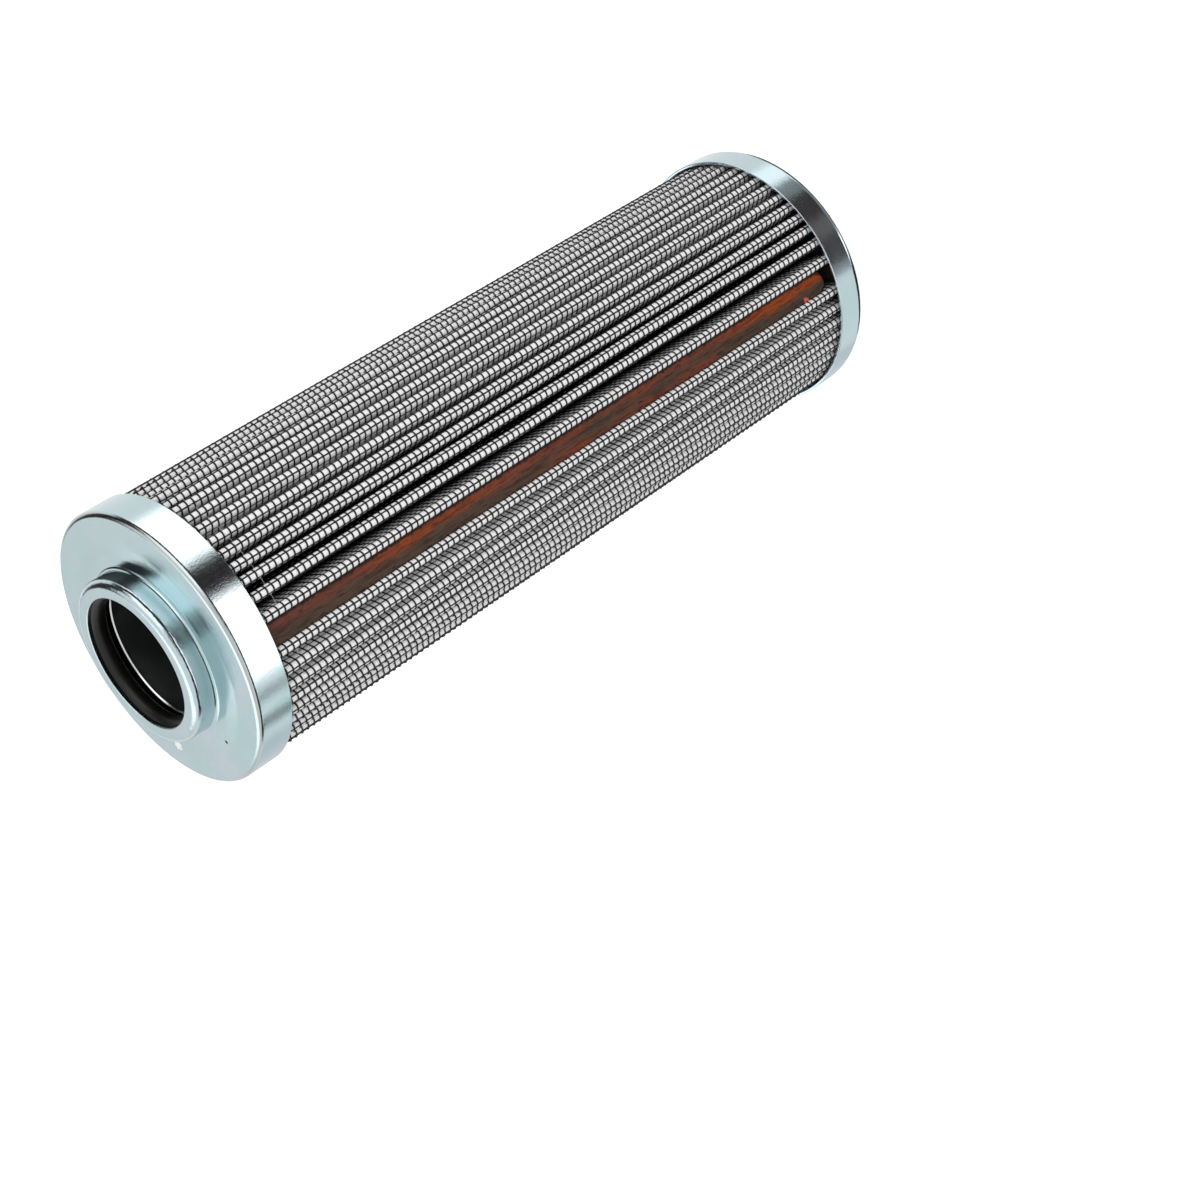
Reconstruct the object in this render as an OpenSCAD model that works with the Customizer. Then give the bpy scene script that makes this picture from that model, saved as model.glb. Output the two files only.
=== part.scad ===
// Pleated hydraulic filter element with sheet-steel end caps, standing on its closed end.
// Frame: millimetres, +Z up along the element's axis, origin at the centre of the closed end's face.
// The side seam faces -Y. The pleats turn around +Z, starting just past the seam.

/* [Whole element] */
// Outside diameter of both end caps
cap_d = 68; // [66:1:72]
// Length between the flat faces of the two end caps
body_l = 207.5; // [150:0.5:300]
// Height of each cap's skirt over the pleats
skirt_h = 9.2; // [8:0.1:14]
// Thickness of the pressed steel sheet
sheet_t = 0.8; // [0.6:0.1:1]
// Outside radius of the bend between face and skirt
rim_r = 1.2; // [1.1:0.1:2]

/* [Neck and seal] */
// Outside diameter of the drawn neck
neck_d = 40.6; // [40:0.2:43]
// Height of the neck above the open cap's face
neck_h = 6; // [6:0.1:9]
// Diameter of the hole in the neck's turned-in lip
lip_bore_d = 32.6; // [32:0.1:34]
// Outside radius of the neck's bend at the lip
lip_r = 1.6; // [1.2:0.1:2]
// Outside radius of the fillet at the neck's foot
foot_r = 0.8; // [0.5:0.1:1.5]
// Thickness of the sealing ring's round section
ring_section = 4.5; // [4:0.1:5]
// Play between the sealing ring and the neck's wall
ring_play = 0.05; // [0.02:0.01:0.1]
// Thickness of the flat retaining ring under the seal
retainer_t = 0.5; // [0.4:0.1:1]
// Diameter of the retaining ring's hole
retainer_bore_d = 33.8; // [33:0.1:35]
// Outside diameter of the retaining ring
retainer_d = 48; // [44:1:52]

/* [Centre tube] */
// Outside diameter of the perforated centre tube
tube_d = 37.8; // [37:0.1:38]
// Thickness of the tube's wall
tube_t = 0.8; // [0.6:0.1:1]
// Diameter of the tube's holes
tube_hole_d = 6; // [4:0.5:7]
// Number of holes around the tube in one row
tube_holes = 8; // [6:2:10]
// Height from one row of holes to the next
tube_row_pitch = 14.5; // [12:0.5:20]

/* [Pleated pack] */
// Number of pleats
pleats = 50; // [46:1:50]
// Radial play between the pack and the cap's skirt
pack_play = 0.1; // [0.05:0.05:0.3]
// Play between the pack's inner folds and the centre tube
tube_play = 0.3; // [0.2:0.1:0.5]
// Thickness of the resin disc at each end
potting_t = 4; // [3:0.5:5]
// Thickness of the flat core of the outer wire mesh
mesh_t = 0.2; // [0.15:0.05:0.25]
// Width of one wire ridge of the outer mesh
wire_w = 0.3; // [0.2:0.05:0.4]
// Height of one wire ridge above the mesh's core
wire_h = 0.2; // [0.1:0.05:0.25]
// Distance between neighbouring wires along the mesh
wire_pitch = 1.77; // [1.6:0.01:1.8]
// Thickness of the white fleece under the outer mesh
prefilter_t = 0.15; // [0.1:0.05:0.2]
// Thickness of the glass-fibre filter layer
media_t = 0.3; // [0.2:0.05:0.3]
// Thickness of the fleece behind the filter layer
support_t = 0.1; // [0.05:0.05:0.15]
// Thickness of the inner supporting mesh
inner_mesh_t = 0.2; // [0.15:0.05:0.2]
// Radius inside a crest, on the pack's inner side
crest_core_r = 0.25; // [0.2:0.05:0.3]
// Radius inside an inner fold, on the pack's outer side
nose_core_r = 0.18; // [0.1:0.02:0.2]
// Largest sideways lean of a crest from its even place, in degrees
crest_lean = 0.45; // [0:0.05:0.5]

/* [Side seam] */
// Angle of the side seam around the axis
seam_at = -90; // [-180:1:180]
// Angle from the seam's middle to the crest on each side
seam_half = 7.5; // [6:0.5:8]
// Angle from each seam crest to the next crest, where the end pleat is spread open
end_gap = 9; // [8.5:0.5:9.5]
// Height of the resin strip's lower end
resin_start = 10.8; // [10:0.1:20]
// Share of the seam's flanks that the resin strip covers, counted from the crests
resin_depth = 0.45; // [0.3:0.05:0.6]
// Drop of the resin strip's edges below the top of the flanks, as a share of their length
resin_drop = 0.03; // [0.02:0.01:0.1]
// Sag of the resin strip's face between its edges
resin_sag = 0.25; // [0.1:0.05:0.5]

/* [Spacing thread] */
// Distance of the thread from the open cap's skirt
thread_from_skirt = 4.7; // [3:0.1:8]
// Thickness of the thread
thread_d = 0.25; // [0.2:0.05:0.4]

/* [Hidden] */
$fn = 96;

cap_r = cap_d / 2;
skirt_in_r = cap_r - sheet_t;
neck_r = neck_d / 2;
neck_in_r = neck_r - sheet_t;
neck_top = body_l + neck_h;
under_face = body_l - sheet_t;
under_retainer = under_face - retainer_t;

// The five layers of the pack, counted outwards from its inner face
inner_mesh_at = 0;
support_at = inner_mesh_at + inner_mesh_t;
media_at = support_at + support_t;
prefilter_at = media_at + media_t;
mesh_at = prefilter_at + prefilter_t;
pack_t = mesh_at + mesh_t;

pack_r = skirt_in_r - pack_play;
crest_out_r = crest_core_r + pack_t;
crest_centre_r = pack_r - wire_h - crest_out_r;
nose_out_r = nose_core_r + pack_t;
nose_centre_r = tube_d / 2 + tube_play + nose_out_r;
pleat_step = (360 - 2 * seam_half - 2 * end_gap) / (pleats - 3);
seam_floor_half = seam_half - pleat_step / 2;
last = pleats - 1;
pack_low = sheet_t + potting_t;
pack_high = under_retainer - potting_t;
crest_steps = 6;
nose_steps = 4;
wire_half_turn = asin(wire_w / 2 / crest_out_r);
most_wire_turn = 86;
wire_turn = min(wire_pitch / crest_out_r * 180 / PI, most_wire_turn - wire_half_turn);

tube_rows = floor((pack_high - pack_low - tube_row_pitch) / tube_row_pitch) + 1;
tube_first_row = (pack_low + pack_high - (tube_rows - 1) * tube_row_pitch) / 2;
overlap = 1;

// One fold of the pack: [x, y, signed radius, angle around the axis].
// The radius is that of the pack's inner face: positive round a crest, negative round an inner fold.
function fold(angle, r, radius) = [r * cos(angle), r * sin(angle), radius, angle];

// The even place of crest k, where the first and last crests stand further from their neighbours
function even_angle(k) =
    k == 0 ? seam_at + seam_half
    : k == last ? seam_at + 360 - seam_half
    : seam_at + seam_half + end_gap + (k - 1) * pleat_step;

function lean(k) = k > 0 && k < last ? crest_lean * (0.6 * sin(137 * k) + 0.4 * sin(71 * k + 40)) : 0;

function crest(k) = fold(even_angle(k) + lean(k), crest_centre_r, crest_core_r);

function nose(angle) = fold(angle, nose_centre_r, -nose_out_r);

folds = [
    nose(seam_at + seam_floor_half),
    crest(0),
    for (k = [1 : last - 1])
        each [nose(even_angle(k) - pleat_step / 2), crest(k)],
    nose(even_angle(last - 1) + pleat_step / 2),
    crest(last),
    nose(seam_at - seam_floor_half)
];

// Direction of the flank between two folds, square to it and pointing out of the pack's outer side
function flank_normal(a, b) =
    let (way = [b[0] - a[0], b[1] - a[1]])
    atan2(way[1], way[0]) - acos((a[2] - b[2]) / norm(way));

function wrapped(angle) = angle - 360 * round(angle / 360);

function fold_before(i) = folds[(i + len(folds) - 1) % len(folds)];

function fold_after(i) = folds[(i + 1) % len(folds)];

// Where fold i's arc starts and ends, counted from the direction away from the axis
function arc_start(i) = wrapped(flank_normal(fold_before(i), folds[i]) - folds[i][3]);

function arc_end(i) = wrapped(flank_normal(folds[i], fold_after(i)) - folds[i][3]);

function on_fold(i, turn, level) =
    let (f = folds[i])
    [f[0] + (f[2] + level) * cos(f[3] + turn), f[1] + (f[2] + level) * sin(f[3] + turn)];

// Closed outline of the pleated surface that lies at one level above the pack's inner face
function pleated_outline(level) = [
    for (i = [0 : len(folds) - 1])
        let (steps = folds[i][2] > 0 ? crest_steps : nose_steps)
        for (j = [0 : steps])
            on_fold(i, arc_start(i) + (arc_end(i) - arc_start(i)) * j / steps, level)
];

// Turn and height of the points round one crest of the mesh: up to three wires, smooth between them
function wire_ridge(turn) = [
    [turn - wire_half_turn, 0],
    [turn - wire_half_turn, wire_h],
    [turn + wire_half_turn, wire_h],
    [turn + wire_half_turn, 0]
];

function ridged_crest(from, to) = [
    [from, 0],
    for (m = [-3 : 3])
        let (turn = m / 3 * wire_turn)
        if (turn - wire_half_turn > from && turn + wire_half_turn < to)
            each (m % 3 == 0 ? wire_ridge(turn) : [[turn, 0]]),
    [to, 0]
];

function ridged_outline(level) = [
    for (i = [0 : len(folds) - 1])
        each (folds[i][2] > 0
            ? [for (p = ridged_crest(arc_start(i), arc_end(i))) on_fold(i, p[0], level + p[1])]
            : [for (j = [0 : nose_steps])
                on_fold(i, arc_start(i) + (arc_end(i) - arc_start(i)) * j / nose_steps, level)])
];

// Point on the outer side of the flank from fold a to fold b, at a share of its length
function on_flank(a, b, share) =
    let (turn = flank_normal(a, b))
    let (side = [cos(turn), sin(turn)])
    let (from = [a[0], a[1]] + (a[2] + pack_t) * side)
    let (to = [b[0], b[1]] + (b[2] + pack_t) * side)
    from + share * (to - from);

// Quarter of a ring section, the part with x and y above its centre before it is turned
module quarter_bend(centre, inner_r, outer_r, turn) {
    translate(centre)
        rotate(turn)
            intersection() {
                difference() {
                    circle(outer_r);
                    circle(inner_r);
                }
                square(outer_r + overlap);
            }
}

module flat(x_low, x_high, y_low, y_high) {
    translate([x_low, y_low])
        square([x_high - x_low, y_high - y_low]);
}

module skirt_section() {
    flat(skirt_in_r, cap_r, 0, skirt_h - rim_r);
    quarter_bend([cap_r - rim_r, skirt_h - rim_r], rim_r - sheet_t, rim_r, 0);
}

module open_end_cap() {
    color("lightsteelblue")
        rotate_extrude() {
            translate([0, body_l - skirt_h])
                skirt_section();
            flat(neck_r + foot_r, cap_r - rim_r, under_face, body_l);
            quarter_bend([neck_r + foot_r, body_l + foot_r], foot_r, foot_r + sheet_t, 180);
            flat(neck_in_r, neck_r, body_l + foot_r, neck_top - lip_r);
            quarter_bend([neck_r - lip_r, neck_top - lip_r], lip_r - sheet_t, lip_r, 0);
            flat(lip_bore_d / 2, neck_r - lip_r, neck_top - sheet_t, neck_top);
        }
}

module closed_end_cap() {
    color("lightsteelblue")
        rotate_extrude() {
            translate([0, skirt_h])
                mirror([0, 1])
                    skirt_section();
            flat(0, cap_r - rim_r, 0, sheet_t);
        }
}

module neck_sealing_ring() {
    ring_r = neck_in_r - ring_play - ring_section / 2;
    color("black")
        translate([0, 0, neck_top - sheet_t - ring_section / 2])
            rotate_extrude()
                translate([ring_r, 0])
                    circle(d = ring_section);
}

module seal_retaining_ring() {
    color("silver")
        translate([0, 0, under_retainer])
            difference() {
                cylinder(h = retainer_t, d = retainer_d);
                translate([0, 0, -overlap])
                    cylinder(h = retainer_t + 2 * overlap, d = retainer_bore_d);
            }
}

module centre_tube() {
    color("gainsboro")
        difference() {
            translate([0, 0, sheet_t])
                cylinder(h = under_retainer - sheet_t, d = tube_d);
            cylinder(h = body_l, d = tube_d - 2 * tube_t);
            for (row = [0 : tube_rows - 1])
                for (hole = [0 : tube_holes / 2 - 1])
                    translate([0, 0, tube_first_row + row * tube_row_pitch])
                        rotate([90, 0, (hole + row % 2 / 2) * 360 / tube_holes])
                            cylinder(h = tube_d + 2 * overlap, d = tube_hole_d, center = true, $fn = 32);
        }
}

module potting_open_end() {
    color("dimgray")
        rotate_extrude() {
            flat(tube_d / 2, skirt_in_r, pack_high, under_retainer);
            flat(retainer_d / 2, cap_r - rim_r, under_retainer, under_face);
        }
}

module potting_closed_end() {
    color("dimgray")
        rotate_extrude() {
            flat(tube_d / 2, cap_r - rim_r, sheet_t, rim_r);
            flat(tube_d / 2, skirt_in_r, rim_r, pack_low);
        }
}

module pleated_layer(level, thickness) {
    translate([0, 0, pack_low])
        linear_extrude(pack_high - pack_low)
            difference() {
                polygon(pleated_outline(level + thickness));
                polygon(pleated_outline(level));
            }
}

module outer_wire_mesh() {
    color("dimgray")
        translate([0, 0, pack_low])
            linear_extrude(pack_high - pack_low)
                difference() {
                    polygon(ridged_outline(mesh_at + mesh_t));
                    polygon(pleated_outline(mesh_at));
                }
}

module prefilter_fleece() {
    color("white")
        pleated_layer(prefilter_at, prefilter_t);
}

module glass_fibre_media() {
    color("ivory")
        pleated_layer(media_at, media_t);
}

module support_fleece() {
    color("whitesmoke")
        pleated_layer(support_at, support_t);
}

module inner_wire_mesh() {
    color("gray")
        pleated_layer(inner_mesh_at, inner_mesh_t);
}

module side_seam_resin() {
    nose_a = folds[len(folds) - 1];
    nose_b = folds[0];
    low = 1 - resin_depth;
    high = 1 - resin_drop;
    edge_a = on_flank(crest(last), nose_a, 1 - high);
    edge_b = on_flank(nose_b, crest(0), high);
    middle = (edge_a + edge_b) / 2;
    width = norm(edge_b - edge_a);
    color("saddlebrown")
        intersection() {
            translate([0, 0, resin_start])
                linear_extrude(pack_high - resin_start)
                    polygon([
                        on_flank(crest(last), nose_a, 1 - low),
                        on_flank(nose_b, crest(0), low),
                        edge_b,
                        (middle + edge_b) / 2 - 0.75 * resin_sag * [cos(seam_at), sin(seam_at)],
                        middle - resin_sag * [cos(seam_at), sin(seam_at)],
                        (middle + edge_a) / 2 - 0.75 * resin_sag * [cos(seam_at), sin(seam_at)],
                        edge_a
                    ]);
            rotate([90, 0, seam_at + 90])
                linear_extrude(cap_d) {
                    translate([0, resin_start + width / 2])
                        circle(d = width);
                    translate([-width / 2, resin_start + width / 2])
                        square([width, body_l]);
                }
        }
}

module spacing_thread() {
    color("whitesmoke")
        translate([0, 0, body_l - skirt_h - thread_from_skirt])
            rotate_extrude()
                translate([pack_r + thread_d / 2, 0])
                    circle(d = thread_d, $fn = 24);
}

open_end_cap();
closed_end_cap();
neck_sealing_ring();
seal_retaining_ring();
centre_tube();
potting_open_end();
potting_closed_end();
outer_wire_mesh();
prefilter_fleece();
glass_fibre_media();
support_fleece();
inner_wire_mesh();
side_seam_resin();
spacing_thread();
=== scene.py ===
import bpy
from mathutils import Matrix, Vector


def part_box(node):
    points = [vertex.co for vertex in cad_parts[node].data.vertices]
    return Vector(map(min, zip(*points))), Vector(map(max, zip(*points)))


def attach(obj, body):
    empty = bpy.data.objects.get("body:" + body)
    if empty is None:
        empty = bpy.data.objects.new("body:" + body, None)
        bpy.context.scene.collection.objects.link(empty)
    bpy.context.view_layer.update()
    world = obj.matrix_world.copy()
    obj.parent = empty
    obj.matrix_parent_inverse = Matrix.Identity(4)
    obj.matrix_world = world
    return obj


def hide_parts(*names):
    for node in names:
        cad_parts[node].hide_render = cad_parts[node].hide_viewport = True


bl_info = {
    "name": "Pleated filter element",
    "version": (1, 0, 0),
    "blender": (4, 5, 0),
    "location": "View3D > Sidebar > Filter",
    "description": "Dresses the packed frame of a pleated wire-mesh filter element",
    "category": "Object",
}

import math
from functools import partial

import bpy
import numpy as np
from bpy.props import (
    FloatProperty,
    FloatVectorProperty,
    IntProperty,
    PointerProperty,
)
from bpy.types import Operator, Panel, PropertyGroup
from mathutils import Matrix, Vector

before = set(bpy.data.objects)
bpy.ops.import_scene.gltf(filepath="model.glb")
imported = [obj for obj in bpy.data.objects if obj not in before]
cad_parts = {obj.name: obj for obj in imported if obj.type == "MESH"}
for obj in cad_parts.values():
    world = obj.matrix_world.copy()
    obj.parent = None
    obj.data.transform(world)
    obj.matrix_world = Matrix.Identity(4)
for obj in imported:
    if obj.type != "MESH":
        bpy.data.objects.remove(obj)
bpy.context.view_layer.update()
TURN = 2 * math.pi

# Leans in degrees of the crests that show beside the seam, counted away from it
AFTER_SEAM = (0.0, 0.24, -0.29, -0.26, -0.58, -0.34, -0.52, -0.14, -1.0, -0.1, -0.75)
BEFORE_SEAM = (0.35, 0.0, 0.6, 0.6, 0.95, 0.9)


# Property helpers


def length(name, text, mm):
    """A length property whose default is given in millimetres and kept in metres."""
    return FloatProperty(
        name=name,
        description=text,
        default=mm / 1000,
        min=0.0,
        precision=5,
        unit="LENGTH",
        subtype="DISTANCE",
    )


def turn(name, text, degrees):
    """An angle property whose default is given in degrees."""
    default = math.radians(degrees)
    return FloatProperty(
        name=name, description=text, default=default, unit="ROTATION", subtype="ANGLE"
    )


def share(name, text, value, most=1.0):
    """A plain number property between nothing and most."""
    return FloatProperty(name=name, description=text, default=value, min=0.0, max=most)


def point(name, text, place):
    """A property for a point, in metres."""
    return FloatVectorProperty(
        name=name, description=text, default=place, subtype="TRANSLATION", unit="LENGTH"
    )


def linear(code):
    """Linear red, green, blue and alpha of an sRGB hex colour."""
    parts = [int(code[i : i + 2], 16) / 255 for i in (1, 3, 5)]
    return tuple(
        p / 12.92 if p <= 0.04045 else ((p + 0.055) / 1.055) ** 2.4 for p in parts
    ) + (1.0,)


def colour(name, text, code):
    """A colour property whose default is an sRGB hex colour."""
    return FloatVectorProperty(
        name=name,
        description=text,
        default=linear(code),
        size=4,
        min=0.0,
        max=1.0,
        subtype="COLOR",
    )


def box_mm(node):
    """Lowest and highest corner of a CAD node in millimetres."""
    low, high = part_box(node)
    return low * 1000, high * 1000


CAP_HIGH = box_mm("open_end_cap")[1]
FAR_HIGH = box_mm("closed_end_cap")[1]
SEAL_LOW, SEAL_HIGH = box_mm("neck_sealing_ring")
RING_LOW, RING_HIGH = box_mm("seal_retaining_ring")
PACK_LOW, PACK_HIGH = box_mm("prefilter_fleece")
THREAD_LOW, THREAD_HIGH = box_mm("spacing_thread")
RESIN_LOW, RESIN_HIGH = box_mm("side_seam_resin")


class FILTER_PG_caps(PropertyGroup):
    """Sizes of the two pressed end caps."""

    radius: length("Cap radius", "Outside radius of both caps", CAP_HIGH.x)
    face: length("Open face height", "Height of the open cap's face", 207.5)
    skirt: length("Skirt", "Height of each cap's skirt", FAR_HIGH.z)
    sheet: length("Sheet", "Thickness of the pressed sheet", 0.8)
    rim: length("Rim bend", "Outside radius between face and skirt", 1.2)
    far_rim: length("Far rim bend", "Outside radius at the closed end", 2.4)
    neck: length("Neck radius", "Outside radius of the neck", 20.3)
    top: length("Neck top", "Height of the neck's top", CAP_HIGH.z)
    bore: length("Lip bore radius", "Radius of the hole in the lip", 16.3)
    lip: length("Lip bend", "Outside radius of the bend at the lip", 1.6)
    foot: length("Foot fillet", "Radius of the fillet at the neck's foot", 0.8)
    dish: length("Dish", "Rise of the face towards the neck", 0.18)
    dish_width: length("Dish width", "Width of the ring that rises to the neck", 6.5)
    dish_flat: length("Dish flat", "Width of the raised ring round the neck", 2.9)
    dish_foot: length("Dish foot", "Radius of the bend at the dish's foot", 20)
    dish_brow: length("Dish brow", "Radius of the bend at the dish's top", 12)
    edge: length("Cut edge", "Rounding of the sheet's cut edges", 0.22)
    worn: length("Worn rim", "Depth of the worn plating inside the sharp corner", 0.81)
    worn_edge: length("Worn edge", "Soft edge of the worn plating", 0.09)
    bend_in: length("Dents inside", "Dents start this far inside the neck's wall", 2.2)
    bend_down: length("Dents down", "Dents start this far below the neck's top", 3)
    steps: IntProperty(
        name="Steps", description="Points round each cap", default=300, min=96
    )


class FILTER_PG_seal(PropertyGroup):
    """Sizes of the sealing ring in the neck and of the ring that keeps it there."""

    section: length("Section", "Radius of the ring's section", (SEAL_HIGH.z - SEAL_LOW.z) / 2)
    outside: length("Outside", "Outside radius of the ring", SEAL_HIGH.x)
    height: length("Height", "Height of the ring's middle", (SEAL_HIGH.z + SEAL_LOW.z) / 2)
    ring_out: length("Retainer", "Outside radius of the retaining ring", RING_HIGH.x)
    ring_bore: length("Retainer bore", "Radius of the retaining ring's hole", 16.9)
    ring_low: length("Retainer underside", "Height of the ring's underside", RING_LOW.z)
    ring_high: length("Retainer face", "Height of the retaining ring's face", RING_HIGH.z)
    ring_edge: length("Retainer edge", "Rounding of the retaining ring's edges", 0.06)
    ring_slope: length("Retainer slope", "Width of the ring's sloped inner edge", 0.26)
    ring_fall: share("Retainer fall", "Fall of the slope for its width", 1.25, 3.0)


class FILTER_PG_pleats(PropertyGroup):
    """Sizes of the pleated pack."""

    count: IntProperty(name="Pleats", description="Number of pleats", default=50, min=20)
    low: length("Low end", "Height of the pack's low end", PACK_LOW.z)
    high: length("High end", "Height of the pack's high end", PACK_HIGH.z)
    crest_at: length("Crest centre", "Distance of the crests' centres", 31.7)
    crest: length("Crest core", "Radius inside a crest", 0.25)
    nose_at: length("Inner fold centre", "Distance of the inner folds", 20.33)
    nose: length("Inner fold", "Radius round an inner fold", 1.13)
    seam: turn("Seam", "Angle of the side seam", -90)
    seam_half: turn("Seam half", "Angle from the seam to its crests", 7.5)
    end_gap: turn("End gap", "Angle from a seam crest to the next crest", 9)
    lean: turn("Lean", "Largest lean of a crest", 0.45)
    wander: turn("Wander", "Slow wander of a crest along its length", 0.22)


class FILTER_PG_weave(PropertyGroup):
    """Sizes of the woven wire and of the layers under it. A level is a height above the
    pack's inner face."""

    pitch: length("Pitch", "Distance between neighbouring wires", 1.77)
    first: length("First wire", "Height of the lowest round wire", 6.15)
    wire: length("Round wire radius", "Radius of a wire over the pleats", 0.22)
    long_wire: length("Long wire radius", "Radius of a wire along the pack", 0.18)
    level: length("Wire level", "Level of the round wires in the pack", 0.94)
    low_level: length("Long wire level", "Level of the wires along the pack", 0.88)
    wave: length("Wave", "Height of the weave's wave", 0.03)
    outer: length("Fleece outside", "Level of the fleece's outer face", 0.86)
    swell: length("Swell", "Rise of the fleece on the flanks", 0.1)
    inner: length("Fleece inside", "Level of the fleece's inner face", 0.6)
    media_in: length("Media inside", "Level of the glass fibre's inner face", 0.3)
    support_in: length("Support inside", "Level of the support fleece's inner face", 0.2)
    pillow: length("Pillow", "Height of the fleece between the wires", 0.16)


class FILTER_PG_resin(PropertyGroup):
    """Sizes of the resin strip in the side seam."""

    start: length("Start", "Height of the strip's low end", RESIN_LOW.z)
    end: length("End", "Height of the strip's high end", RESIN_HIGH.z)
    half: length("Half width", "Half the strip's width", 3.12)
    top: length("Face", "Distance of the strip's edges from the axis", 31.3)
    sag: length("Sag", "Sag of the strip's face", 0.22)
    deep: length("Depth", "Depth of the strip in the fold", 4.8)
    deep_half: length("Deep half width", "Half width at the strip's back", 2.35)
    tooth: length("Teeth", "Rise of the edges between the wires", 0.45)


class FILTER_PG_thread(PropertyGroup):
    """Sizes of the spacing thread."""

    height: length("Height", "Height of the thread", (THREAD_LOW.z + THREAD_HIGH.z) / 2)
    radius: length("Thread radius", "Half the thread's thickness", 0.05)
    outside: length("Outside", "Outside radius of the thread's ring", THREAD_HIGH.x)
    gap: turn("Gap at the seam", "Half the stretch that the resin hides", 7.5)


class FILTER_PG_finish(PropertyGroup):
    """Colours of the finishes."""

    zinc: colour("Zinc plate", "Passivated zinc plate", "#BBCFD2")
    zinc_cyan: colour("Cyan cloud", "Greenish clouds in the plating", "#AECCCE")
    zinc_worn: colour("Worn zinc", "Plating worn plain along the rims", "#B9B5B0")
    zinc_lilac: colour("Lilac cloud", "Violet clouds in the plating", "#C4CCD6")
    wire: colour("Wire", "Coating of the wire", "#121213")
    fleece: colour("Fleece", "White fleece", "#EBEBEB")
    # Painted shade of the fleece along the wires
    fleece_wire_shade: colour("Fleece by the wires", "Fleece beside the wires", "#BCBCBE")
    resin_orange: colour("Orange resin", "Clear orange-brown stretches", "#8E3D0E")
    resin_red: colour("Red resin", "Red-brown side of the resin", "#613529")
    resin_brown: colour("Brown resin", "Dull grey-brown side of the resin", "#48382D")
    resin_dark: colour("Dark resin", "Dark streaks and edges of the resin", "#170D0A")
    mark_light: colour("Light chip", "Small bare chip in the plating", "#FFFFFF")
    mark_dark: colour("Dark speck", "Small speck on the face", "#101416")
    mark_pink: colour("Pink spot", "Small pinkish spot in the resin", "#C25A50")
    rubber: colour("Rubber", "Nitrile rubber", "#0A0908")
    ring: colour("Bright ring", "Bright retaining ring", "#D8DAD8")
    # Painted shade on the retaining ring's face
    ring_face_shade: colour("Dull ring", "Dull face of the retaining ring", "#2C2E2E")
    tube: colour("Tube", "Steel of the centre tube", "#8E9492")
    potting: colour("Potting", "Cast resin of the end discs", "#2A2724")
    thread: colour("Thread", "Translucent thread", "#E4E4DE")
    floor: colour("Floor", "Floor of the studio", "#F4F4F4")


class FILTER_PG_stage(PropertyGroup):
    """Camera and light."""

    place: point("Camera place", "Place of the camera", (0.15779, -0.45837, 0.42758))
    aim: point("Camera aim", "Point in the middle of the view", (-0.04276, -0.01954, 0.10437))
    roll: turn("Roll", "Turn of the camera about its view", 125.28)
    lens: FloatProperty(
        name="Lens", description="Focal length in millimetres", default=71.69, min=1.0
    )
    fill: share("Fill", "Strength of the light from all round", 0.48, 2.0)
    key: FloatProperty(
        name="Key", description="Power of the front lamp in watts", default=6.0, min=0.0
    )
    floor_glow: share("Floor glow", "Own light of the floor as the camera sees it", 0.58)


GROUPS = {
    "filter_caps": FILTER_PG_caps,
    "filter_seal": FILTER_PG_seal,
    "filter_pleats": FILTER_PG_pleats,
    "filter_weave": FILTER_PG_weave,
    "filter_resin": FILTER_PG_resin,
    "filter_thread": FILTER_PG_thread,
    "filter_finish": FILTER_PG_finish,
    "filter_stage": FILTER_PG_stage,
}


# Meshes


def grid_faces(rows, columns, wrap_rows, wrap_columns, copies=1):
    """Corner numbers of the quads of a grid whose points are numbered row by row.

    A quad's corners run along the columns first, so it faces column direction cross row
    direction. Copies of the grid follow one another in the numbering.
    """
    r, c = np.meshgrid(
        np.arange(rows if wrap_rows else rows - 1),
        np.arange(columns if wrap_columns else columns - 1),
        indexing="ij",
    )
    up, on = (r + 1) % rows, (c + 1) % columns
    quads = np.stack(
        [r * columns + c, r * columns + on, up * columns + on, up * columns + c], -1
    ).reshape(-1, 4)
    steps = np.arange(copies)[:, None, None] * rows * columns
    return (quads[None] + steps).reshape(-1, 4)


def put(name, data):
    """A new object of that data in the scene."""
    obj = bpy.data.objects.new(name, data)
    bpy.context.scene.collection.objects.link(obj)
    return obj


def add_piece(name, points, faces, material, node, slot, uv=None, wide=None):
    """A smooth mesh object from points in metres and arrays of faces, riding on the body.

    uv holds one pair for each corner of each face, in the order of the faces. wide is 1 for
    the points that face one of the two wide gaps of the pack.
    """
    corners = np.concatenate([f.ravel() for f in faces]).astype(np.int32)
    sizes = np.concatenate([np.full(len(f), f.shape[1]) for f in faces])
    points = points.reshape(-1, 3)
    mesh = bpy.data.meshes.new(name)
    mesh.vertices.add(len(points))
    mesh.vertices.foreach_set("co", points.astype(np.float32).ravel())
    mesh.loops.add(len(corners))
    mesh.loops.foreach_set("vertex_index", corners)
    mesh.polygons.add(len(sizes))
    mesh.polygons.foreach_set("loop_start", (np.cumsum(sizes) - sizes).astype(np.int32))
    mesh.polygons.foreach_set("use_smooth", np.ones(len(sizes), bool))
    if uv is not None:
        layer = mesh.uv_layers.new(name="weave")
        layer.uv.foreach_set("vector", uv.astype(np.float32).ravel())
    if wide is not None:
        layer = mesh.attributes.new("wide_gap", "FLOAT", "POINT")
        layer.data.foreach_set("value", wide.astype(np.float32))
    mesh.update(calc_edges=True)
    if mesh.validate():
        raise RuntimeError(f"the mesh of {name} had faults")
    mesh.materials.append(material)
    obj = put(name, mesh)
    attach(obj, "root")
    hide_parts(node)


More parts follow.
